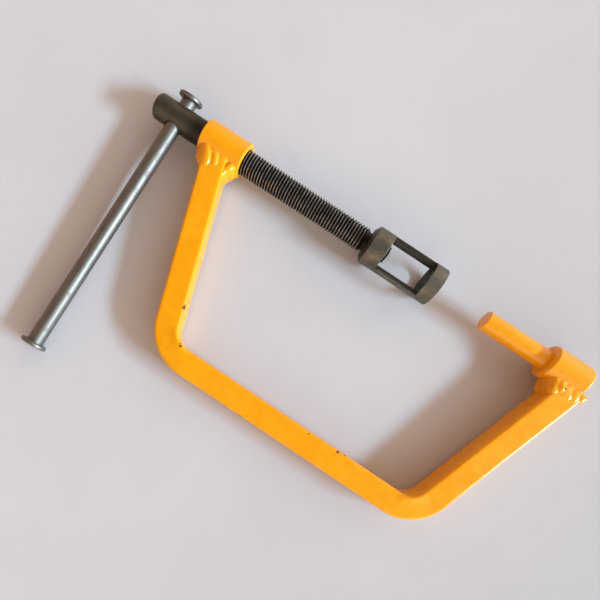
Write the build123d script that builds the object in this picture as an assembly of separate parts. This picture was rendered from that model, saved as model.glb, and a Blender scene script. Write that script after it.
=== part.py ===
from build123d import *
import os
from math import cos, radians, sin, tan

# A C-frame screw clamp of the kind that compresses the valve springs of an engine.
# Millimetres. +X runs along the screw, from its head towards the fixed anvil pin. +Z is
# square to the plane of the frame, whose back lies on the -Y side of the screw.
# The origin is the centre of the anvil pin's working face, on the axis of the screw.

# Frame: a square bar bent into a symmetric C, with arms that spread towards the screw
BAR = 16.0                 # width and thickness of the square bar
BAR_EDGE_R = 1.8           # rounding along its four edges
ARM_LEAN = 18.0            # angle of each arm from the square to the back, in degrees
THROAT = 118.5             # screw axis to the inside of the back
SCREW_ARM_X = -190.6       # where the inside line of the screw's arm meets the screw axis
ANVIL_ARM_X = 60.6         # where the inside line of the anvil's arm meets the screw axis
BEND_IN_R = 12.0           # inside of each bend
BEND_OUT_R = 32.0          # outside of each bend, where the bar thins a little
SEAT_DEPTH = 2.0           # how far each boss beds into the end of its arm
SEAT_GAP = 0.03

# Bosses: two lengths of thick tube welded across the ends of the arms
BOSS_R = 11.0
SCREW_BOSS_X = -209.8      # its outer end, where the head of the screw stops
SCREW_BOSS_LENGTH = 30.0
ANVIL_BOSS_X = 45.0        # its inner end, where the pin comes out
ANVIL_BOSS_LENGTH = 26.5
BOSS_EDGE_R = 1.8
SCREW_BOSS_EDGE_R = 0.8

# Anvil pin
PIN_R = 6.35
PIN_SHANK_R = 5.5          # the part inside the boss, past the shoulder that takes the load
PIN_EDGE = 0.4
PIN_TAIL = 0.8             # the pin stops this far inside the back of its boss

# Screw thread, M16 x 2 with the loose fit of a garage tool
PITCH = 2.0
THREAD_CREST_R = 7.87
THREAD_ROOT_R = 6.65
CREST_FLAT = PITCH / 8
RIDGE_SINK = 0.15          # how far the base of the ridge is let into the core
RIDGE_TURNS = 5            # turns in each length of the ridge
FLANK = radians(30)
THREAD_PLAY = 0.24         # radial, between the screw's thread and the boss's
THREAD_LENGTH = 120.0

# Screw: head, thread, neck and the spigot that carries the cage
HEAD_R = 8.0
HEAD_LENGTH = 36.7
HEAD_EDGE_R = 2.6
HEAD_GAP = 0.3             # head to boss when the screw is wound right in
CROSS_HOLE_FROM_END = 16.0
CROSS_HOLE_R = 5.4
NECK_R = 6.1
NECK_LENGTH = 1.6
SPIGOT_R = 4.5
TENON_R = 3.3
RIVET_R = 4.1              # the tenon's end, peened out into the washer's countersink
RIVET_DOME = 0.5

# Cage: a sleeve that turns on the spigot, open through on two sides
CAGE_R = 12.5
CAGE_BORE_R = 9.95
MOUTH_R = 10.25            # counterbore in the end ring, which goes over the spring's retainer
CAGE_LENGTH = 51.8
COLLAR_LENGTH = 13.0
COLLAR_FACE_R = 8.8
COLLAR_TAPER = 2.3
WINDOW_LENGTH = 30.1
RAIL_HEIGHT = 6.5
CAGE_EDGE = 0.4
WINDOW_EDGE = 0.35
END_PLAY = 0.25
SPIGOT_PLAY = 0.25

# Washer that keeps the cage on the spigot
WASHER_R = 5.5
WASHER_THICKNESS = 1.6
WASHER_EDGE = 0.4
WASHER_PLAY = 0.25

# Tommy bar
TOMMY_R = 5.0
TOMMY_LEAN = 0.93          # how far the bar lies askew in its loose hole, in degrees
TOMMY_TOP_Y = 12.9         # inner face of the stop beside the head
TOMMY_LOW_Y = -168.5       # inner face of the stop at the far end
TOMMY_NEAR_TILT = 13.0     # each stop is riveted on a little crooked, its upper edge nearer the head
TOMMY_FAR_TILT = -6.5
TOMMY_STOP_R = 8.0
TOMMY_STOP_THICKNESS = 2.6
TOMMY_STOP_EDGE_R = 0.9
TOMMY_TENON_R = 3.0
TOMMY_RIVET = 0.4          # how far each riveted tenon stands out of its stop

# Welds: a run of round drops of weld metal round the end of each arm
WELD_R = 3.1
WELD_UNEVEN = 0.12         # how much one drop's radius differs from the next
WELD_STEP = 3.4
WELD_FACE_Y = -9.6         # place of the runs across the two flat faces of the arm
WELD_FACE_Z = BAR / 2 + 0.2
WELD_SIDE_Y = -10.8        # place of the runs down its inside and its outside
WELD_SIDE_Z = BAR / 2 - 1.2

# Places along the screw
screw_boss_end = SCREW_BOSS_X + SCREW_BOSS_LENGTH
thread_end = SCREW_BOSS_X + THREAD_LENGTH
shoulder = thread_end + NECK_LENGTH
cage_start = shoulder + END_PLAY
collar_end = cage_start + COLLAR_LENGTH
window_end = collar_end + WINDOW_LENGTH
cage_end = cage_start + CAGE_LENGTH
washer_start = collar_end + END_PLAY
washer_end = washer_start + WASHER_THICKNESS
rivet_start = (washer_start + washer_end) / 2
anvil_boss_end = ANVIL_BOSS_X + ANVIL_BOSS_LENGTH
head_end = SCREW_BOSS_X - HEAD_LENGTH
tommy_x = head_end + CROSS_HOLE_FROM_END
seat_y = -(BOSS_R - SEAT_DEPTH)


def rod(radius, start, end):
    """A round bar along X from start to end."""
    return Pos((start + end) / 2, 0, 0) * Rot(0, 90, 0) * Cylinder(radius, end - start)


def turned(*profile):
    """A turned piece: profile is a run of (x, radius) points, closed and spun about X."""
    return revolve(make_face(Polyline(*profile, close=True)), Axis.X, 360)


def rims(solid, radius, x):
    """The round edges of that radius that lie square across the screw axis at x."""
    circles = solid.edges().filter_by(GeomType.CIRCLE)
    return circles.filter_by(lambda e: abs(e.radius - radius) < 0.01 and abs(e.center().X - x) < 0.01)


def arm_side(x_at_axis, spread, offset, y):
    """X of one side of an arm at y, offset outwards from the arm's inside line."""
    lean = radians(ARM_LEAN)
    return x_at_axis - spread * (y * tan(lean) + offset / cos(lean))


def frame_outline():
    """The C seen square on, with its bends rounded inside and out."""
    back = -THROAT - BAR
    inner = [
        (arm_side(SCREW_ARM_X, 1, 0, seat_y), seat_y),
        (arm_side(SCREW_ARM_X, 1, 0, -THROAT), -THROAT),
        (arm_side(ANVIL_ARM_X, -1, 0, -THROAT), -THROAT),
        (arm_side(ANVIL_ARM_X, -1, 0, seat_y), seat_y),
    ]
    outer = [
        (arm_side(ANVIL_ARM_X, -1, BAR, seat_y), seat_y),
        (arm_side(ANVIL_ARM_X, -1, BAR, back), back),
        (arm_side(SCREW_ARM_X, 1, BAR, back), back),
        (arm_side(SCREW_ARM_X, 1, BAR, seat_y), seat_y),
    ]
    outline = Sketch() + make_face(Polyline(*inner, *outer, close=True))
    inside = outline.vertices().filter_by(lambda v: abs(v.Y + THROAT) < 0.01)
    outline = fillet(inside, BEND_IN_R)
    outside = outline.vertices().filter_by(lambda v: abs(v.Y - back) < 0.01)
    return fillet(outside, BEND_OUT_R)


def frame_bar():
    """The bent bar, its long edges rounded and its ends hollowed to seat the bosses."""
    bar = extrude(frame_outline(), BAR / 2, both=True)
    long_edges = bar.edges().filter_by(lambda e: abs(abs(e.center().Z) - BAR / 2) < 0.01)
    long_edges = long_edges.filter_by(lambda e: abs(e.center().Y - seat_y) > 0.01)
    bar = fillet(long_edges, BAR_EDGE_R)
    bar -= rod(BOSS_R + SEAT_GAP, SCREW_BOSS_X - BAR, screw_boss_end + BAR)
    bar -= rod(BOSS_R + SEAT_GAP, ANVIL_BOSS_X - BAR, anvil_boss_end + BAR)
    return bar


def threaded_rod(root_r, crest_r, start, turns):
    """A right-hand thread along X: a core with a ridge wound round it from start, a few turns at a time."""
    base_r = root_r - RIDGE_SINK
    half_crest = CREST_FLAT / 2
    half_base = half_crest + (crest_r - base_r) * tan(FLANK)
    ridge_face = Plane.XZ * make_face(
        Polyline((base_r, -half_base), (crest_r, -half_crest), (crest_r, half_crest),
                 (base_r, half_base), close=True)
    )
    ridge = sweep(ridge_face, path=Helix(PITCH, RIDGE_TURNS * PITCH, base_r), is_frenet=True)
    core = Pos(0, 0, turns * PITCH / 2) * Cylinder(root_r, (turns + 2) * PITCH)
    lengths = [Pos(0, 0, i * RIDGE_TURNS * PITCH) * ridge for i in range(turns // RIDGE_TURNS)]
    return Pos(start, 0, 0) * Rot(0, 90, 0) * core.fuse(*lengths)


def screw_boss():
    """The tube that the screw runs in, with its inside thread in step with the screw's."""
    boss = rod(BOSS_R, SCREW_BOSS_X, screw_boss_end)
    ends = rims(boss, BOSS_R, SCREW_BOSS_X) + rims(boss, BOSS_R, screw_boss_end)
    boss = fillet(ends, SCREW_BOSS_EDGE_R)
    turns = round(SCREW_BOSS_LENGTH / PITCH) + 2 * RIDGE_TURNS
    start = SCREW_BOSS_X - RIDGE_TURNS * PITCH
    return boss - threaded_rod(THREAD_ROOT_R + THREAD_PLAY, THREAD_CREST_R + THREAD_PLAY, start, turns)


def anvil_boss():
    """The tube that holds the anvil pin, rounded at both ends."""
    boss = rod(BOSS_R, ANVIL_BOSS_X, anvil_boss_end)
    ends = rims(boss, BOSS_R, ANVIL_BOSS_X) + rims(boss, BOSS_R, anvil_boss_end)
    boss = fillet(ends, BOSS_EDGE_R)
    return boss - rod(PIN_SHANK_R, ANVIL_BOSS_X - 1, anvil_boss_end + 1)


def anvil_pin():
    """The plain pin that the work rests on. Its shank is pressed right through the boss."""
    tail = anvil_boss_end - PIN_TAIL
    return turned(
        (0, 0), (0, PIN_R - PIN_EDGE), (PIN_EDGE, PIN_R), (ANVIL_BOSS_X, PIN_R),
        (ANVIL_BOSS_X, PIN_SHANK_R), (tail - PIN_EDGE, PIN_SHANK_R), (tail, PIN_SHANK_R - PIN_EDGE),
        (tail, 0),
    )


def evenly(start, end):
    """Places from start up to but not including end, about one weld step apart."""
    span = Vector(*end) - Vector(*start)
    count = max(1, round(span.length / WELD_STEP))
    return [Vector(*start) + span * (i / count) for i in range(count)]


def weld_drops(places):
    """Drops of weld metal run together, each turned and sized a little unlike the last."""
    drops = []
    for i, place in enumerate(places):
        radius = WELD_R * (1 + WELD_UNEVEN * sin(2.3 * i))
        drops.append(Pos(place) * Rot(37 * i % 360, 23 + 11 * i % 360, 17 * i % 360) * Sphere(radius))
    return drops[0].fuse(*drops[1:])


def arm_weld(x_at_axis, spread, boss_start, boss_end, bar):
    """The bead right round the end of an arm, cut to the shape of the bar and the boss."""
    inside_x = arm_side(x_at_axis, spread, 0, seat_y)
    outside_x = arm_side(x_at_axis, spread, BAR, seat_y)
    places = evenly((inside_x, WELD_FACE_Y, WELD_FACE_Z), (outside_x, WELD_FACE_Y, WELD_FACE_Z))
    places += evenly((outside_x, WELD_SIDE_Y, WELD_SIDE_Z), (outside_x, WELD_SIDE_Y, -WELD_SIDE_Z))
    places += evenly((outside_x, WELD_FACE_Y, -WELD_FACE_Z), (inside_x, WELD_FACE_Y, -WELD_FACE_Z))
    places += evenly((inside_x, WELD_SIDE_Y, -WELD_SIDE_Z), (inside_x, WELD_SIDE_Y, WELD_SIDE_Z))
    bead = weld_drops(places) - rod(BOSS_R + SEAT_GAP, boss_start - SEAT_GAP, boss_end + SEAT_GAP)
    return bead - bar


def spindle():
    """The screw: cross-drilled head, thread, neck, spigot and the tenon riveted at its tip."""
    head = rod(HEAD_R, head_end, SCREW_BOSS_X - HEAD_GAP)
    head = fillet(rims(head, HEAD_R, head_end), HEAD_EDGE_R)
    head -= Pos(tommy_x, 0, 0) * Rot(90, 0, 0) * Cylinder(CROSS_HOLE_R, 4 * HEAD_R)
    thread = threaded_rod(THREAD_ROOT_R, THREAD_CREST_R, SCREW_BOSS_X, round(THREAD_LENGTH / PITCH))
    bevel = THREAD_CREST_R - THREAD_ROOT_R
    thread &= turned(
        (SCREW_BOSS_X - 1, 0), (SCREW_BOSS_X - 1, HEAD_R), (thread_end - bevel, HEAD_R),
        (thread_end, THREAD_ROOT_R), (thread_end, 0),
    )
    shank = turned(
        (thread_end - 1, 0), (thread_end - 1, NECK_R), (shoulder, NECK_R), (shoulder, SPIGOT_R),
        (collar_end + END_PLAY / 2, SPIGOT_R), (collar_end + END_PLAY / 2, TENON_R),
        (rivet_start, TENON_R), (washer_end, RIVET_R), (washer_end + RIVET_DOME, RIVET_R - 1.2),
        (washer_end + RIVET_DOME, 0),
    )
    return head + thread + shank


def retaining_washer():
    """The loose washer, countersunk on its outer side for the riveted tip of the screw."""
    bore = TENON_R + WASHER_PLAY
    return turned(
        (washer_start, bore), (washer_start, WASHER_R - WASHER_EDGE),
        (washer_start + WASHER_EDGE, WASHER_R), (washer_end - WASHER_EDGE, WASHER_R),
        (washer_end, WASHER_R - WASHER_EDGE), (washer_end, RIVET_R + WASHER_PLAY),
        (rivet_start, bore),
    )


def cage():
    """The sleeve that pushes on the work: a solid collar, two side rails and an end ring."""
    sleeve = turned(
        (cage_start, SPIGOT_R + SPIGOT_PLAY), (cage_start, COLLAR_FACE_R),
        (cage_start + COLLAR_TAPER, CAGE_R), (cage_end - CAGE_EDGE, CAGE_R),
        (cage_end, CAGE_R - CAGE_EDGE), (cage_end, MOUTH_R), (window_end, MOUTH_R),
        (window_end, CAGE_BORE_R), (collar_end, CAGE_BORE_R), (collar_end, SPIGOT_R + SPIGOT_PLAY),
    )
    window = Box(WINDOW_LENGTH, 3 * CAGE_R, CAGE_R)
    middle = (collar_end + window_end) / 2
    for side in (1, -1):
        sleeve -= Pos(middle, 0, side * (RAIL_HEIGHT + CAGE_R) / 2) * window
    return chamfer(rims(sleeve, CAGE_R, collar_end), WINDOW_EDGE)


def tommy_bar():
    """The sliding bar along Y, stepped down at both ends to carry its stops."""
    over = TOMMY_STOP_THICKNESS
    profile = make_face(Polyline(
        (0, TOMMY_LOW_Y - over - TOMMY_RIVET), (TOMMY_TENON_R - 0.6, TOMMY_LOW_Y - over - TOMMY_RIVET),
        (TOMMY_TENON_R, TOMMY_LOW_Y - over), (TOMMY_TENON_R, TOMMY_LOW_Y), (TOMMY_R, TOMMY_LOW_Y),
        (TOMMY_R, TOMMY_TOP_Y), (TOMMY_TENON_R, TOMMY_TOP_Y), (TOMMY_TENON_R, TOMMY_TOP_Y + over),
        (TOMMY_TENON_R - 0.6, TOMMY_TOP_Y + over + TOMMY_RIVET), (0, TOMMY_TOP_Y + over + TOMMY_RIVET),
        close=True,
    ))
    return revolve(profile, Axis.Y, 360)


def tommy_stop(inner_y, outwards, tilt, rod_inside):
    """A round stop riveted on one end of the bar, so that it can't slide out of the head."""
    disc = Cylinder(TOMMY_STOP_R, TOMMY_STOP_THICKNESS)
    disc = fillet(disc.edges().filter_by(GeomType.CIRCLE), TOMMY_STOP_EDGE_R)
    disc = Pos(0, outwards * TOMMY_STOP_THICKNESS / 2, 0) * Rot(90, 0, 0) * disc
    return Pos(0, inner_y, 0) * Rot(tilt, 0, 0) * disc - rod_inside


def pieces():
    """Every sub-part by its node's name."""
    bar = frame_bar()
    sliding = tommy_bar()
    near = tommy_stop(TOMMY_TOP_Y, 1, TOMMY_NEAR_TILT, sliding)
    far = tommy_stop(TOMMY_LOW_Y, -1, TOMMY_FAR_TILT, sliding)
    in_hole = Pos(tommy_x, 0, 0) * Rot(0, 0, TOMMY_LEAN)
    return {
        "frame_bar": bar,
        "screw_boss": screw_boss(),
        "screw_boss_weld": arm_weld(SCREW_ARM_X, 1, SCREW_BOSS_X, screw_boss_end, bar),
        "anvil_boss": anvil_boss(),
        "anvil_boss_weld": arm_weld(ANVIL_ARM_X, -1, ANVIL_BOSS_X, anvil_boss_end, bar),
        "anvil_pin": anvil_pin(),
        "spindle": spindle(),
        "retaining_washer": retaining_washer(),
        "cage": cage(),
        "tommy_bar": in_hole * sliding,
        "tommy_stop_near": in_hole * near,
        "tommy_stop_far": in_hole * far,
    }


os.makedirs("parts", exist_ok=True)
for name, solid in pieces().items():
    export_step(solid, f"parts/{name}.step")
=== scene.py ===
import math
import random

import bmesh
import bpy
from mathutils import Matrix, Vector, noise


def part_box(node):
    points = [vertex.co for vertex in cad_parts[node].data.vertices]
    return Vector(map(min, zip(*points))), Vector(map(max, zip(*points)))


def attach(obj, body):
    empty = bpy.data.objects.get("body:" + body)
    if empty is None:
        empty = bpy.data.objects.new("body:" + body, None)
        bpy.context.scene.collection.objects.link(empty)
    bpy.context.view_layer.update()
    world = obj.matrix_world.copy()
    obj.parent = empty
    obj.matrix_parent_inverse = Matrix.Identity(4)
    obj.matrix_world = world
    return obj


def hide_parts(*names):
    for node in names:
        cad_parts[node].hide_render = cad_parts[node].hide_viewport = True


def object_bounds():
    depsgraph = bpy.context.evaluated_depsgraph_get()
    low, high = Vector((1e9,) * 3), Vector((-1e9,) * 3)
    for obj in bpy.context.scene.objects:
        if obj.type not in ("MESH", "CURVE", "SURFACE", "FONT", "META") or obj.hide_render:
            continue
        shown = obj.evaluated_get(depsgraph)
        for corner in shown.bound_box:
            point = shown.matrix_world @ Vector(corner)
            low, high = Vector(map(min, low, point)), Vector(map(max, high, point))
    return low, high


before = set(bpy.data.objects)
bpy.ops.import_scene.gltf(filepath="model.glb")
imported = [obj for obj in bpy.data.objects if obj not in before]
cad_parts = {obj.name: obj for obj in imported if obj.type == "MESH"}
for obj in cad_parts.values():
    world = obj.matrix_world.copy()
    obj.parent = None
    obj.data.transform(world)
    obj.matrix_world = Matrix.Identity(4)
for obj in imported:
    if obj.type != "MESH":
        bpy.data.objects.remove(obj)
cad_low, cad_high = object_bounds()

# A C-frame valve spring clamp lying on a table. Blender works in metres; lengths below are
# in millimetres and go through MM. +X runs along the screw from its head to the anvil pin.
MM = 0.001

# The frame's bar, as it is in the CAD
BAR = 16.0
BAR_EDGE_R = 1.8
ARM_LEAN = math.radians(18.0)
BEND_IN_R = 12.0
BEND_OUT_R = 32.0
BULGE = 1.0            # how far the metal swells at the inside of a bend
THINNING = 0.45        # and how far it thins at the outside
SCALE_WAVES = 0.10     # unevenness of the hot-bent bar

# Weld metal
WELD_VOXEL = 0.36
WELD_SOFTENING = 22    # rounds of smoothing, which fill the corners
WELD_BACKING = 0.25    # how far under the steel the skin is that the metal is softened against
WELD_SINK = 0.10       # how far the finished metal reaches into the steel
ARM_BACKED = 22.0      # how much of an arm the metal is softened against
CUT_FURTHER = 4.0      # how much more of the arm is cut away, so that no skin is left in it
CRUMB = 400            # a loose speck has fewer points than this

STATION_STEP = 1.3     # spacing of the sections along the bar


# ---------------------------------------------------------------- node building

def set_range(node, low, high, to_low, to_high):
    """Sets what a Map Range node maps to what."""
    limits = {"From Min": low, "From Max": high, "To Min": to_low, "To Max": to_high}
    for name, number in limits.items():
        node.inputs[name].default_value = number


class Paintbox:
    """One material, with short calls for the nodes it is made of. Its lengths are in millimetres."""

    def __init__(self, name):
        self.material = bpy.data.materials.new(name)
        self.material.use_nodes = True
        self.tree = self.material.node_tree
        self.tree.nodes.clear()
        self.shader = self.tree.nodes.new("ShaderNodeBsdfPrincipled")
        output = self.tree.nodes.new("ShaderNodeOutputMaterial")
        self.tree.links.new(self.shader.outputs["BSDF"], output.inputs["Surface"])
        place = self.tree.nodes.new("ShaderNodeTexCoord").outputs["Object"]
        self.mm = self.stretch(place, (1 / MM, 1 / MM, 1 / MM))
        self.bumps = None

    def put(self, socket, value):
        """Links value to socket if it comes from a node, and sets it if it is a number or colour."""
        if isinstance(value, bpy.types.NodeSocket):
            self.tree.links.new(value, socket)
        else:
            socket.default_value = value

    def fixed(self, **values):
        """Sets the shader's own sockets. An underscore in a name stands for a space."""
        for name, value in values.items():
            self.shader.inputs[name.replace("_", " ")].default_value = value

    def stretch(self, vector, factors):
        node = self.tree.nodes.new("ShaderNodeVectorMath")
        node.operation = "MULTIPLY"
        self.put(node.inputs[0], vector)
        node.inputs[1].default_value = factors
        return node.outputs[0]

    def math(self, operation, a, b=0.0, clamp=False):
        node = self.tree.nodes.new("ShaderNodeMath")
        node.operation = operation
        node.use_clamp = clamp
        self.put(node.inputs[0], a)
        self.put(node.inputs[1], b)
        return node.outputs[0]

    def noise(self, size, detail=3.0, roughness=0.5, vector=None, distortion=0.0):
        """Noise from 0 to 1 whose features are about size millimetres across."""
        node = self.tree.nodes.new("ShaderNodeTexNoise")
        node.inputs["Scale"].default_value = 1 / size
        node.inputs["Detail"].default_value = detail
        node.inputs["Roughness"].default_value = roughness
        node.inputs["Distortion"].default_value = distortion
        self.put(node.inputs["Vector"], vector or self.mm)
        return node.outputs["Fac"]

    def cells(self, size, vector=None):
        """Distance to the nearest of many scattered points about size millimetres apart."""
        node = self.tree.nodes.new("ShaderNodeTexVoronoi")
        node.inputs["Scale"].default_value = 1 / size
        self.put(node.inputs["Vector"], vector or self.mm)
        return node.outputs["Distance"]

    def ramp(self, value, low, high, to_low=0.0, to_high=1.0):
        """Smooth step from to_low to to_high as value goes from low to high."""
        node = self.tree.nodes.new("ShaderNodeMapRange")
        node.interpolation_type = "SMOOTHSTEP"
        self.put(node.inputs["Value"], value)
        set_range(node, low, high, to_low, to_high)
        return node.outputs["Result"]

    def mix(self, share, a, b):
        """Colour a where share is 0, and b where it is 1."""
        node = self.tree.nodes.new("ShaderNodeMix")
        node.data_type = "RGBA"
        self.put(node.inputs["Factor"], share)
        self.put(node.inputs[6], a if isinstance(a, bpy.types.NodeSocket) else (*a, 1))
        self.put(node.inputs[7], b if isinstance(b, bpy.types.NodeSocket) else (*b, 1))
        return node.outputs[2]

    def from_axis(self, axis):
        """Distance from the row's X or Y axis, in millimetres."""
        flat = self.stretch(self.mm, (0, 1, 1) if axis == "X" else (1, 0, 1))
        node = self.tree.nodes.new("ShaderNodeVectorMath")
        node.operation = "LENGTH"
        self.put(node.inputs[0], flat)
        return node.outputs["Value"]

    def along(self, axis):
        node = self.tree.nodes.new("ShaderNodeSeparateXYZ")
        self.put(node.inputs[0], self.mm)
        return node.outputs[axis]

    def near(self, point, vector=None):
        """Distance from a point, in millimetres."""
        node = self.tree.nodes.new("ShaderNodeVectorMath")
        node.operation = "DISTANCE"
        self.put(node.inputs[0], vector or self.mm)
        node.inputs[1].default_value = point
        return node.outputs["Value"]

    def bump(self, height, depth):
        """Adds relief: height from 0 to 1 stands for depth millimetres."""
        node = self.tree.nodes.new("ShaderNodeBump")
        node.inputs["Strength"].default_value = 1.0
        node.inputs["Distance"].default_value = depth * MM
        self.put(node.inputs["Height"], height)
        if self.bumps:
            self.put(node.inputs["Normal"], self.bumps)
        self.bumps = node.outputs["Normal"]

    def finish(self, colour, roughness, metallic=None):
        self.put(self.shader.inputs["Base Color"], colour)
        self.put(self.shader.inputs["Roughness"], roughness)
        if metallic is not None:
            self.put(self.shader.inputs["Metallic"], metallic)
        if self.bumps:
            self.put(self.shader.inputs["Normal"], self.bumps)
        return self.material


# ---------------------------------------------------------------- materials

AMBER = (0.90, 0.375, 0.002)
AMBER_THICK = (0.87, 0.345, 0.0015)
AMBER_THIN = (0.91, 0.395, 0.003)
PRIMER = (0.060, 0.022, 0.008)
CHIP_EDGE = (0.34, 0.115, 0.006)


def enamel(name, chips=(), bare_inside=None, wear=None):
    """Glossy amber enamel, brushed or dipped thick over steel. chips are (x, y, z, radius) where it
    has come off; inside the radius bare_inside round the screw axis there is oiled steel instead."""
    box = Paintbox(name)
    slow = box.noise(26, detail=2)
    patchy = box.noise(5.5, detail=3, roughness=0.6)
    fine = box.noise(1.1, detail=2)
    tone = box.math("ADD", box.math("MULTIPLY", slow, 0.5), box.math("MULTIPLY", patchy, 0.5))
    colour = box.mix(box.ramp(tone, 0.36, 0.64), AMBER_THICK, AMBER_THIN)
    colour = box.mix(box.ramp(fine, 0.62, 0.80, 0.0, 0.35), colour, AMBER)
    nibs = box.ramp(box.cells(7.0), 0.045, 0.020)
    pits = box.ramp(box.cells(9.5), 0.030, 0.012)
    colour = box.mix(box.math("MULTIPLY", pits, 0.8), colour, CHIP_EDGE)
    rough = box.ramp(patchy, 0.25, 0.75, 0.21, 0.30)

    box.bump(box.noise(9, detail=1), 0.10)
    box.bump(box.noise(2.6, detail=2, roughness=0.55), 0.045)
    box.bump(box.noise(0.9, detail=1), 0.012)
    box.bump(nibs, 0.10)
    box.bump(box.math("SUBTRACT", 1.0, pits), 0.12)

    gone = None
    if chips:
        ragged = box.tree.nodes.new("ShaderNodeTexNoise")
        ragged.inputs["Scale"].default_value = 1.6
        ragged.inputs["Detail"].default_value = 3
        box.put(ragged.inputs["Vector"], box.mm)
        shift = box.stretch(ragged.outputs["Color"], (1.5, 1.5, 1.5))
        moved = box.tree.nodes.new("ShaderNodeVectorMath")
        box.put(moved.inputs[0], box.mm)
        box.put(moved.inputs[1], shift)
        for x, y, z, radius in chips:
            centre = (x + 0.75, y + 0.75, z + 0.75)
            share = box.math("DIVIDE", box.near(centre, moved.outputs[0]), radius)
            gone = share if gone is None else box.math("MINIMUM", gone, share)
    if wear:
        edge = box.tree.nodes.new("ShaderNodeAttribute")
        edge.attribute_name = wear
        rubbing = box.noise(2.4, detail=4, roughness=0.7)
        spots = box.math("SUBTRACT", 1.9, box.math("MULTIPLY", edge.outputs["Fac"], rubbing))
        spots = box.math("ADD", spots, box.math("MULTIPLY", box.noise(30, detail=1), 0.55))
        gone = spots if gone is None else box.math("MINIMUM", gone, spots)
    metallic = None
    if gone:
        colour = box.mix(box.ramp(gone, 1.35, 1.05), colour, CHIP_EDGE)
        bare = box.ramp(gone, 1.02, 0.92)
        colour = box.mix(bare, colour, PRIMER)
        rough = box.math("ADD", rough, box.math("MULTIPLY", bare, 0.35))
        box.bump(box.math("SUBTRACT", 1.0, bare), 0.14)
    if bare_inside:
        steel = box.ramp(box.from_axis("X"), bare_inside + 0.15, bare_inside - 0.15)
        colour = box.mix(steel, colour, (0.045, 0.040, 0.034))
        metallic = box.math("MULTIPLY", steel, 0.8)
    box.fixed(IOR=1.45, Coat_Weight=0.16, Coat_Roughness=0.09, Coat_IOR=1.5)
    return box.finish(colour, rough, metallic)


def blackened(name, dark, light, lines=None, worn=None, worn_from=None, oily_within=None):
    """Oiled black oxide on machined steel, rubbed back a little. lines is the axis that it was turned
    about, whose fine rings show. worn is (radius, softness): past that radius it is rubbed bright,
    from worn_from on along the screw; from 17 mm short of worn_from on, the steel is darkened as
    painted shade of the screw boss. Closer to the screw axis than oily_within it is dark with oil and
    with painted shade of the bore's inner faces."""
    box = Paintbox(name)
    cloudy = box.noise(7, detail=4, roughness=0.6)
    grain = box.noise(0.7, detail=3, roughness=0.65)
    tone = box.math("ADD", box.math("MULTIPLY", cloudy, 0.65), box.math("MULTIPLY", grain, 0.35))
    colour = box.mix(box.ramp(tone, 0.36, 0.66), dark, light)
    rust = box.ramp(box.noise(4.5, detail=5, roughness=0.7, distortion=0.6), 0.62, 0.74, 0.0, 0.25)
    colour = box.mix(rust, colour, (0.090, 0.062, 0.036))
    rough = box.ramp(grain, 0.3, 0.7, 0.34, 0.52)
    metallic = box.ramp(cloudy, 0.3, 0.7, 0.75, 0.9)
    if lines:
        squeeze = {"X": (7.0, 0.12, 0.12), "Y": (0.12, 7.0, 0.12)}[lines]
        rings = box.noise(1.0, detail=4, roughness=0.7, vector=box.stretch(box.mm, squeeze))
        box.bump(rings, 0.012)
        rough = box.math("ADD", rough, box.ramp(rings, 0.3, 0.7, -0.06, 0.06))
        colour = box.mix(box.ramp(rings, 0.52, 0.72, 0.0, 0.35), colour, (0.17, 0.155, 0.125))
    box.bump(box.noise(0.35, detail=3), 0.010)
    # painted shade: the bore's inner faces near the axis are darkened, on top of the real oil there
    if oily_within:
        oily = box.ramp(box.from_axis("X"), oily_within + 0.15, oily_within - 0.15, 0.0, 0.7)
        colour = box.mix(oily, colour, (0.022, 0.020, 0.017))
    if worn:
        radius, softness = worn
        rubbed = box.ramp(box.from_axis("X"), radius - softness, radius + softness)
        rubbed = box.math("MULTIPLY", rubbed, box.ramp(box.noise(3.0, detail=3), 0.30, 0.55, 0.25, 1.0))
        if worn_from is not None:
            past = box.ramp(box.along("X"), worn_from - 0.5, worn_from + 0.5)
            # painted shade: the screw darkens along X towards the boss, where the boss shades it
            oily = box.ramp(box.along("X"), worn_from - 17, worn_from - 5, 0.0, 0.75)
            colour = box.mix(oily, colour, (0.022, 0.020, 0.017))
            rubbed = box.math("MULTIPLY", rubbed, past)
            colour = box.mix(box.math("MULTIPLY", past, 0.8), colour, (0.022, 0.020, 0.017))
        colour = box.mix(rubbed, colour, (0.50, 0.48, 0.45))
        rough = box.math("SUBTRACT", rough, box.math("MULTIPLY", rubbed, 0.14))
    return box.finish(colour, rough, metallic)


def drawn_steel(name, lengthways=(3.2, 0.05, 3.2)):
    """Bright drawn bar with fine lengthways scratches and a faint grey bloom."""
    box = Paintbox(name)
    streaks = box.noise(1.0, detail=5, roughness=0.7, vector=box.stretch(box.mm, lengthways))
    bloom = box.noise(6, detail=4, roughness=0.6)
    colour = box.mix(box.ramp(streaks, 0.35, 0.68), (0.175, 0.172, 0.154), (0.27, 0.266, 0.243))
    colour = box.mix(box.ramp(bloom, 0.48, 0.72, 0.0, 0.5), colour, (0.14, 0.13, 0.105))
    rust = box.ramp(box.noise(2.2, detail=5, roughness=0.75), 0.68, 0.78, 0.0, 0.45)
    colour = box.mix(rust, colour, (0.15, 0.09, 0.05))
    rough = box.ramp(streaks, 0.3, 0.7, 0.46, 0.53)
    rough = box.math("ADD", rough, box.ramp(bloom, 0.5, 0.75, 0.0, 0.08))
    box.bump(streaks, 0.010)
    box.fixed(Metallic=1.0)
    return box.finish(colour, rough)


# ---------------------------------------------------------------- shapes

def piece(name, mesh, material, body, slot, *nodes):
    """Puts a finished mesh, in millimetres, in the scene as a piece that stands for CAD nodes."""
    mesh.transform(Matrix.Scale(MM, 4))
    mesh.materials.clear()
    mesh.materials.append(material)
    mesh.polygons.foreach_set("use_smooth", [True] * len(mesh.polygons))
    obj = bpy.data.objects.new(name, mesh)
    bpy.context.scene.collection.objects.link(obj)
    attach(obj, body)
    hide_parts(*nodes)
    return obj


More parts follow.
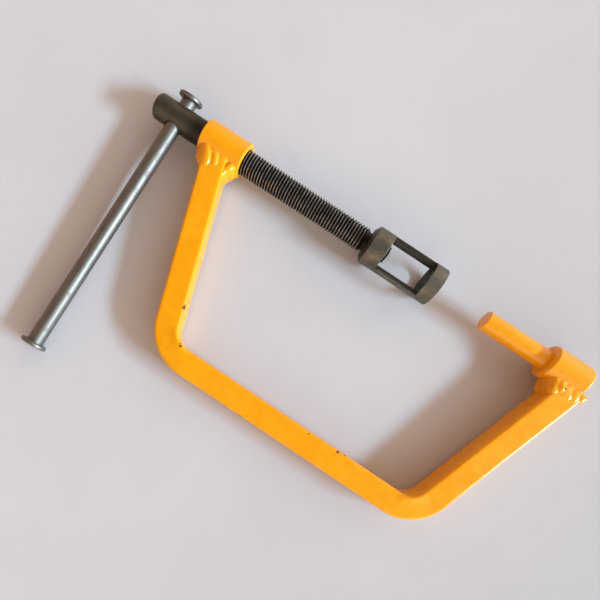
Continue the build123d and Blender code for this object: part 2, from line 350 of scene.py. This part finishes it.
def rounded_section(width, height, radius, flat_steps, corner_steps):
    """Points of a rounded rectangle round (0..width, -height/2..height/2), with how much of a
    corner each point is. u runs across the bar from its inside, v up."""
    half = height / 2
    corners = [
        (width - radius, half - radius, 0), (radius, half - radius, 90),
        (radius, radius - half, 180), (width - radius, radius - half, 270),
    ]
    points = []
    for index, (cu, cv, start) in enumerate(corners):
        for i in range(corner_steps + 1):
            angle = math.radians(start + 90 * i / corner_steps)
            edge = math.sin(math.pi * i / corner_steps)
            points.append((cu + radius * math.cos(angle), cv + radius * math.sin(angle), edge))
        nu, nv, _ = points[-1]
        cu2, cv2, start2 = corners[(index + 1) % 4]
        angle = math.radians(start2)
        eu, ev = cu2 + radius * math.cos(angle), cv2 + radius * math.sin(angle)
        for i in range(1, flat_steps):
            t = i / flat_steps
            points.append((nu + (eu - nu) * t, nv + (ev - nv) * t, 0.0))
    return points


def bar_stations(step):
    """Pairs of points (inside, outside) along the bar from the screw's end to the anvil's, each with
    how much of a bend it is in, from 0 to 1."""
    low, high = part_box("frame_bar")
    top, back = high.y / MM, low.y / MM
    middle = (low.x + high.x) / 2 / MM
    throat = back + BAR
    outer_x = (high.x - low.x) / 2 / MM
    inner_top = outer_x - BAR / math.cos(ARM_LEAN)
    corner_x = inner_top - (top - throat) * math.tan(ARM_LEAN)
    turn = math.pi / 2 - ARM_LEAN
    half = []
    normal = Vector((-math.cos(ARM_LEAN), math.sin(ARM_LEAN)))
    reach = math.tan(turn / 2)
    corner = Vector((corner_x, throat))
    outer_corner = corner + Vector((BAR * reach, -BAR))
    arm = Vector((math.sin(ARM_LEAN), math.cos(ARM_LEAN)))
    in_end = corner + arm * (BEND_IN_R * reach)
    out_end = outer_corner + arm * (BEND_OUT_R * reach)
    in_top = Vector((inner_top, top))
    out_top = Vector((outer_x, top))
    count = round((in_top - in_end).length / step)
    for i in range(count):
        t = i / count
        half.append((in_top.lerp(in_end, t), out_top.lerp(out_end, t), 0.0))
    in_centre = corner + (normal + Vector((0, 1))) * (BEND_IN_R / (1 + normal.y))
    out_centre = corner + (normal + Vector((0, 1))) * ((BEND_OUT_R - BAR) / (1 + normal.y))
    count = round(turn * (BEND_IN_R + BAR / 2) / step) * 2
    for i in range(count + 1):
        angle = ARM_LEAN + turn * i / count
        n = Vector((-math.cos(angle), math.sin(angle)))
        bend = math.sin(math.pi * i / count) ** 0.7
        half.append((in_centre - n * BEND_IN_R, out_centre - n * BEND_OUT_R, bend))
    in_start, out_start, _ = half[-1]
    count = round(in_start.x / step)
    for i in range(1, count):
        left = 1 - i / count
        half.append((Vector((in_start.x * left, throat)), Vector((out_start.x * left, back)), 0.0))
    centre = Vector((0.0, throat)), Vector((0.0, back)), 0.0
    mirrored = [(Vector((-a.x, a.y)), Vector((-b.x, b.y)), c) for a, b, c in half]
    whole = mirrored + [centre] + half[::-1]
    return [(a + Vector((middle, 0)), b + Vector((middle, 0)), c) for a, b, c in whole]


def smoothed(values, rounds):
    for _ in range(rounds):
        values = [
            (values[max(i - 1, 0)] + 2 * v + values[min(i + 1, len(values) - 1)]) / 4
            for i, v in enumerate(values)
        ]
    return values


def frame_mesh():
    """The bent bar: swept section, swollen inside its bends, thinned outside and a little uneven."""
    stations = bar_stations(STATION_STEP)
    bends = smoothed([s[2] for s in stations], 8)
    mesh = bpy.data.meshes.new("frame_bar_painted")
    shape = bmesh.new()
    edge_layer = shape.verts.layers.float.new("edge")
    rings = []
    for (inside, outside, _), bend in zip(stations, bends):
        across = outside - inside
        width = across.length
        across.normalize()
        ring = []
        for u, v, edge in rounded_section(width, BAR, BAR_EDGE_R, 9, 5):
            swell = BULGE * math.exp(-((u / 4.2) ** 2)) - THINNING * math.exp(-(((width - u) / 7) ** 2))
            v *= 1 + bend * swell / (BAR / 2)
            u -= 0.5 * bend * math.exp(-((v / 5) ** 2)) * max(0.0, 1 - u / 6)
            flat = inside + across * u
            p = Vector((flat.x, flat.y, v))
            out = Vector((across.x * (u - width / 2), across.y * (u - width / 2), v)).normalized()
            wave = noise.noise(p / 17) + 0.5 * noise.noise(p / 6 + Vector((9, 4, 2)))
            vert = shape.verts.new(p + out * wave * SCALE_WAVES)
            vert[edge_layer] = edge
            ring.append(vert)
        rings.append(ring)
    for a, b in zip(rings, rings[1:]):
        for i in range(len(a)):
            j = (i + 1) % len(a)
            shape.faces.new((a[i], b[i], b[j], a[j]))
    shape.faces.new(rings[0])
    shape.faces.new(rings[-1][::-1])
    bmesh.ops.recalc_face_normals(shape, faces=shape.faces)
    shape.to_mesh(mesh)
    shape.free()
    return mesh


def bar_end(shape, stations, inset, length):
    """The last length of an arm, drawn in by inset, for weld metal to lie against."""
    (in_a, out_a, _), (in_b, out_b, _) = stations
    down = (in_b - in_a).normalized()
    rings = []
    for move in (inset, length):
        ring = []
        inside, outside = in_a + down * move, out_a + down * move
        across = (outside - inside).normalized()
        width = (outside - inside).length
        for u, v, _ in rounded_section(width - 2 * inset, BAR - 2 * inset, BAR_EDGE_R, 4, 5):
            flat = inside + across * (u + inset)
            ring.append(shape.verts.new((flat.x, flat.y, v)))
        rings.append(ring)
    for i in range(len(rings[0])):
        j = (i + 1) % len(rings[0])
        shape.faces.new((rings[0][i], rings[1][i], rings[1][j], rings[0][j]))
    shape.faces.new(rings[0])
    shape.faces.new(rings[1][::-1])


def boss_core(shape, node, inset):
    """A boss as a plain solid cylinder, drawn in by inset."""
    low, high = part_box(node)
    length = (high.x - low.x) / MM - 2 * inset
    radius = (high.z - low.z) / 2 / MM - inset
    place = Matrix.Translation(((low.x + high.x) / 2 / MM, 0, 0)) @ Matrix.Rotation(math.pi / 2, 4, "Y")
    bmesh.ops.create_cone(
        shape, cap_ends=True, segments=160, radius1=radius, radius2=radius, depth=length, matrix=place
    )


def as_object(name, shape):
    """Closes a bmesh and puts it in the scene as an object."""
    bmesh.ops.recalc_face_normals(shape, faces=shape.faces)
    mesh = bpy.data.meshes.new(name)
    shape.to_mesh(mesh)
    shape.free()
    obj = bpy.data.objects.new(name, mesh)
    bpy.context.scene.collection.objects.link(obj)
    return obj


def evaluated(obj, name):
    """A new mesh of obj with its modifiers applied. The object goes."""
    bpy.context.view_layer.update()
    ready = obj.evaluated_get(bpy.context.evaluated_depsgraph_get())
    mesh = bpy.data.meshes.new_from_object(ready)
    mesh.name = name
    bpy.data.objects.remove(obj)
    return mesh


def weld_mesh(name, puddles, boss, stations):
    """Weld metal: puddles run together with each other and into the corners between arm and boss. A
    puddle is (x, y, z, along, across, height, turn, tilt): its half sizes, its turn in the frame's
    plane and how far its right rim is raised."""
    shape = bmesh.new()
    for x, y, z, along, across, height, turn, tilt in puddles:
        place = (
            Matrix.Translation((x, y, z))
            @ Matrix.Rotation(math.radians(turn), 4, "Z")
            @ Matrix.Rotation(math.radians(-tilt), 4, "Y")
            @ Matrix.Diagonal((along, across, height, 1))
        )
        bmesh.ops.create_icosphere(shape, subdivisions=4, radius=1, matrix=place)
    bar_end(shape, stations, WELD_BACKING, ARM_BACKED)
    boss_core(shape, boss, WELD_BACKING)
    maker = as_object(name + "_maker", shape)
    remesh = maker.modifiers.new("skin", "REMESH")
    remesh.mode = "VOXEL"
    remesh.voxel_size = WELD_VOXEL
    soften = maker.modifiers.new("soften", "SMOOTH")
    soften.factor = 0.5
    soften.iterations = WELD_SOFTENING
    skin = evaluated(maker, name + "_skin")
    normals = [n.vector.copy() for n in skin.vertex_normals]
    for vert, normal in zip(skin.vertices, normals):
        p = vert.co.copy()
        wave = noise.noise(p / 2.8) * 0.11 + noise.noise(p / 1.2 + Vector((3, 7, 1))) * 0.04
        vert.co = p + normal * wave
    metal = bpy.data.objects.new(name + "_metal", skin)
    bpy.context.scene.collection.objects.link(metal)
    cutters = []
    for make in (
        lambda cut: bar_end(cut, stations, WELD_SINK, ARM_BACKED + CUT_FURTHER),
        lambda cut: boss_core(cut, boss, WELD_SINK),
    ):
        cut = bmesh.new()
        make(cut)
        cutters.append(as_object(name + "_cutter", cut))
        carve = metal.modifiers.new("carve", "BOOLEAN")
        carve.operation = "DIFFERENCE"
        carve.solver = "MANIFOLD"
        carve.object = cutters[-1]
    mesh = evaluated(metal, name)
    for cutter in cutters:
        bpy.data.objects.remove(cutter)
    return without_crumbs(mesh)


def without_crumbs(mesh):
    """The mesh without loose specks of fewer than CRUMB points."""
    shape = bmesh.new()
    shape.from_mesh(mesh)
    seen = set()
    crumbs = []
    for start in shape.verts:
        if start in seen:
            continue
        seen.add(start)
        group = [start]
        for vert in group:
            for edge in vert.link_edges:
                other = edge.other_vert(vert)
                if other not in seen:
                    seen.add(other)
                    group.append(other)
        if len(group) < CRUMB:
            crumbs += group
    bmesh.ops.delete(shape, geom=crumbs, context="VERTS")
    shape.to_mesh(mesh)
    shape.free()
    return mesh


def drops(start, end, size, count, seed):
    """A run of small uneven puddles from start to end."""
    random.seed(seed)
    made = []
    for i in range(count):
        t = i / max(count - 1, 1)
        p = Vector(start).lerp(Vector(end), t)
        s = size * random.uniform(0.85, 1.15)
        made.append((
            p.x + random.uniform(-0.3, 0.3),
            p.y + random.uniform(-0.3, 0.3),
            p.z + random.uniform(-0.3, 0.3),
            s, s * random.uniform(0.8, 1.1), s * random.uniform(0.8, 1.05), random.uniform(0, 90), 0,
        ))
    return made


def under(puddles):
    """The same run of puddles on the frame's other face."""
    return [(x, y, -z, a, c, h, turn, -tilt) for x, y, z, a, c, h, turn, tilt in puddles]


# ---------------------------------------------------------------- the object

FRAME_CHIPS = [
    (-158.5, -98.0, 7.8, 1.5), (-158.9, -96.9, 7.8, 1.0), (-152.3, -114.0, 8.3, 0.5),
    (-147.8, -119.1, 8.3, 0.7), (-148.6, -118.0, 8.4, 0.5), (-32.0, -119.4, 7.7, 0.85),
    (-27.3, -118.8, 7.4, 0.55), (-28.6, -118.9, 7.6, 0.35), (-52.7, -120.1, 7.7, 0.45),
    (-182.8, -75.2, 7.6, 0.4), (17.6, -117.4, 7.8, 0.4), (53.8, -69.7, 7.6, 0.4),
    (-94.0, -134.0, 6.6, 0.8), (-92.6, -134.2, 6.4, 0.5), (-90.0, -130.0, -7.6, 0.9),
    (-140.0, -128.0, -7.8, 0.7), (-10.0, -118.6, -7.4, 0.6), (43.0, -122.0, 2.0, 0.7),
]

frame_paint = enamel("frame_enamel", chips=FRAME_CHIPS, wear="edge")
weld_paint = enamel("weld_enamel", chips=[(60.3, -11.4, 8.8, 0.6)])
boss_paint = enamel("screw_boss_enamel", bare_inside=8.35)
plain_paint = enamel("anvil_enamel")
OXIDE = (0.100, 0.098, 0.077), (0.205, 0.198, 0.158)
OXIDE_SCREW = (0.066, 0.066, 0.050), (0.118, 0.116, 0.088)
# black oxide darkened past its own colour as painted shade, for the washer that lies in shade
OXIDE_SHADED_BLACK = (0.012, 0.011, 0.009), (0.030, 0.027, 0.022)
cage_black = blackened("oxide_cage", *OXIDE, lines="X", oily_within=12.15)
washer_black = blackened("oxide_and_shade_washer", *OXIDE_SHADED_BLACK, lines="X")
screw_black = blackened("oxide_screw", *OXIDE_SCREW, lines="X", worn=(7.76, 0.08), worn_from=-209.5)
bright = drawn_steel("drawn_steel")

piece("frame_bar_painted", frame_mesh(), frame_paint, "frame", "yellow_paint", "frame_bar")

stations = bar_stations(STATION_STEP)

SCREW_TOP = [
    (-202.0, -13.4, 6.4, 5.4, 8.0, 2.5, 33.5, 33),
    (-203.4, -11.8, 2.8, 4.6, 7.0, 4.4, 33.5, 0),
    (-198.8, -13.0, 6.2, 6.4, 4.6, 2.3, 33.5, 0),
    (-195.6, -12.2, 7.0, 3.7, 5.4, 1.9, 33.5, 27),
    (-196.6, -8.8, 6.6, 4.8, 2.6, 2.3, 10, 0),
    (-190.6, -8.3, 7.0, 3.6, 1.9, 1.5, 0, 0),
    (-184.2, -8.8, 4.6, 3.6, 3.2, 3.2, 0, 0),
    (-185.2, -11.6, 4.8, 3.2, 3.4, 3.1, 0, 0),
    (-186.2, -14.8, 4.9, 2.4, 3.6, 2.9, -18, 0),
    (-186.2, -18.2, 4.6, 1.5, 2.8, 3.0, -18, 0),
]
screw_weld = SCREW_TOP + under(SCREW_TOP)
screw_weld += [
    (-184.4, -10.6, 0.0, 3.9, 4.0, 8.0, 0, 0),
    (-186.0, -14.6, 0.0, 2.8, 5.0, 7.6, -18, 0),
    (-204.6, -11.2, 0.0, 4.2, 4.6, 7.6, 0, 0),
]
screw_weld += drops((-205.0, -13.4, 4.0), (-205.0, -13.4, -4.0), 2.9, 4, 12)
screw_bead = weld_mesh("screw_boss_bead", screw_weld, "screw_boss", stations[:2])
piece("screw_boss_bead", screw_bead, weld_paint, "frame", "yellow_paint", "screw_boss_weld")

ANVIL_TOP = [
    (54.8, -10.6, 5.0, 4.0, 5.0, 3.4, 20, 8),
    (55.4, -14.6, 5.4, 3.4, 4.6, 3.2, 20, 10),
    (57.2, -11.8, 7.2, 3.2, 4.6, 1.6, 20, 24),
    (57.8, -8.4, 6.0, 4.2, 2.6, 2.4, 0, 0),
    (61.0, -12.6, 6.7, 4.4, 5.6, 2.0, 28, 8),
    (63.4, -13.2, 7.0, 2.8, 4.6, 1.5, 28, 20),
    (62.8, -9.2, 6.3, 5.0, 3.2, 2.1, 0, 0),
    (67.2, -11.8, 6.7, 3.8, 5.0, 1.8, 24, 12),
    (68.6, -8.8, 6.2, 4.4, 3.2, 2.1, 0, 0),
    (72.0, -10.4, 6.2, 3.2, 3.8, 2.2, 15, 12),
    (74.6, -9.3, 6.4, 1.8, 1.6, 2.0, 0, 0),
]
anvil_weld = ANVIL_TOP + under(ANVIL_TOP)
anvil_weld += [
    (53.6, -9.2, 0.0, 3.4, 4.4, 8.4, 0, 0),
    (55.2, -13.6, 0.0, 3.2, 5.6, 8.0, 18, 0),
    (73.0, -9.6, 0.0, 3.8, 4.6, 8.0, 0, 0),
]
anvil_bead = weld_mesh("anvil_boss_bead", anvil_weld, "anvil_boss", stations[:-3:-1])
piece("anvil_boss_bead", anvil_bead, weld_paint, "frame", "yellow_paint", "anvil_boss_weld")

for node, material in {
    "screw_boss": boss_paint, "anvil_boss": plain_paint, "anvil_pin": plain_paint,
    "spindle": screw_black, "retaining_washer": washer_black, "cage": cage_black,
    "tommy_bar": bright, "tommy_stop_near": bright, "tommy_stop_far": bright,
}.items():
    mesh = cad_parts[node].data
    mesh.materials.clear()
    mesh.materials.append(material)


# ---------------------------------------------------------------- floor, light and camera

def floor():
    """A pale sheet of paper under the clamp. The clamp lies on its cage and the end of its tommy
    bar, so in the clamp's own frame the table leans a little."""
    cage_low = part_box("cage")[0].z
    stop_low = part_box("tommy_stop_far")[0]
    lean = math.atan2(stop_low.z - cage_low, -stop_low.y)
    box = Paintbox("paper")
    tone = box.noise(160, detail=3)
    colour = box.mix(box.ramp(tone, 0.3, 0.7), (0.565, 0.575, 0.60), (0.60, 0.61, 0.635))
    # painted shade: the paper darkens towards +X, standing in for the light falling off there
    painted_falloff = box.ramp(box.along("X"), -160, 260, 0.0, 0.55)
    colour = box.mix(painted_falloff, colour, (0.40, 0.40, 0.405))
    box.bump(box.noise(45, detail=3), 0.35)
    box.fixed(Specular_IOR_Level=0.15)
    material = box.finish(colour, 0.75)
    mesh = bpy.data.meshes.new("table")
    shape = bmesh.new()
    bmesh.ops.create_grid(shape, x_segments=8, y_segments=8, size=3.0)
    shape.to_mesh(mesh)
    shape.free()
    mesh.materials.append(material)
    obj = bpy.data.objects.new("table", mesh)
    bpy.context.scene.collection.objects.link(obj)
    obj.matrix_world = Matrix.Translation((0, 0, cage_low - 0.0002)) @ Matrix.Rotation(-lean, 4, "X")


def lamp(name, azimuth, elevation, distance, size, power, colour):
    """A soft square light that faces the middle of the clamp. Azimuth 0 is +X, 90 is +Y."""
    data = bpy.data.lights.new(name, "AREA")
    data.shape = "RECTANGLE"
    data.size, data.size_y = size
    data.energy = power
    data.color = colour
    obj = bpy.data.objects.new(name, data)
    bpy.context.scene.collection.objects.link(obj)
    a, e = math.radians(azimuth), math.radians(elevation)
    away = Vector((math.cos(a) * math.cos(e), math.sin(a) * math.cos(e), math.sin(e)))
    target = (cad_low + cad_high) / 2
    obj.matrix_world = (
        Matrix.Translation(target + away * distance) @ away.to_track_quat("Z", "Y").to_matrix().to_4x4()
    )


def room():
    """Warm light from all round: strongest from the window's side, redder from the side that faces it
    and weak overhead."""
    world = bpy.data.worlds.new("room")
    bpy.context.scene.world = world
    world.use_nodes = True
    tree = world.node_tree
    way = tree.nodes.new("ShaderNodeTexCoord").outputs["Generated"]
    parts = tree.nodes.new("ShaderNodeSeparateXYZ")
    tree.links.new(way, parts.inputs[0])
    shares = []
    overhead, sideways = ("Z", 0.50, 0.95, 1.0, 0.22), ("X", -1.0, 1.0, 0.0, 1.0)
    for axis, low, high, to_low, to_high in (overhead, sideways):
        share = tree.nodes.new("ShaderNodeMapRange")
        share.interpolation_type = "SMOOTHSTEP"
        tree.links.new(parts.outputs[axis], share.inputs["Value"])
        set_range(share, low, high, to_low, to_high)
        shares.append(share.outputs["Result"])
    colour = tree.nodes.new("ShaderNodeMix")
    colour.data_type = "RGBA"
    colour.inputs[6].default_value = (0.65, 0.36, 0.225, 1)
    colour.inputs[7].default_value = (1.95, 1.60, 1.355, 1)
    tree.links.new(shares[1], colour.inputs["Factor"])
    glow = tree.nodes["Background"]
    tree.links.new(colour.outputs[2], glow.inputs["Color"])
    tree.links.new(shares[0], glow.inputs["Strength"])


floor()
lamp("window", 8, 24, 8.0, (2.9, 0.72), 905, (0.62, 0.85, 1.06))
room()
scene = bpy.context.scene
scene.view_settings.view_transform = "Standard"

camera = bpy.data.cameras.new("camera")
camera.sensor_width = 36
camera.lens = 25.33
camera.shift_x = 0.0904
camera.shift_y = 0.1249
camera.clip_start = 0.01
viewer = bpy.data.objects.new("camera", camera)
scene.collection.objects.link(viewer)
right = Vector((0.83109, 0.55598, -0.01324))
down = Vector((0.55591, -0.83120, -0.00880))
forward = Vector((-0.01590, -0.00005, -0.99987))
turned = Matrix((right, -down, -forward)).transposed().to_4x4()
viewer.matrix_world = Matrix.Translation((-0.1006, -0.1116, 0.2659)) @ turned
scene.camera = viewer
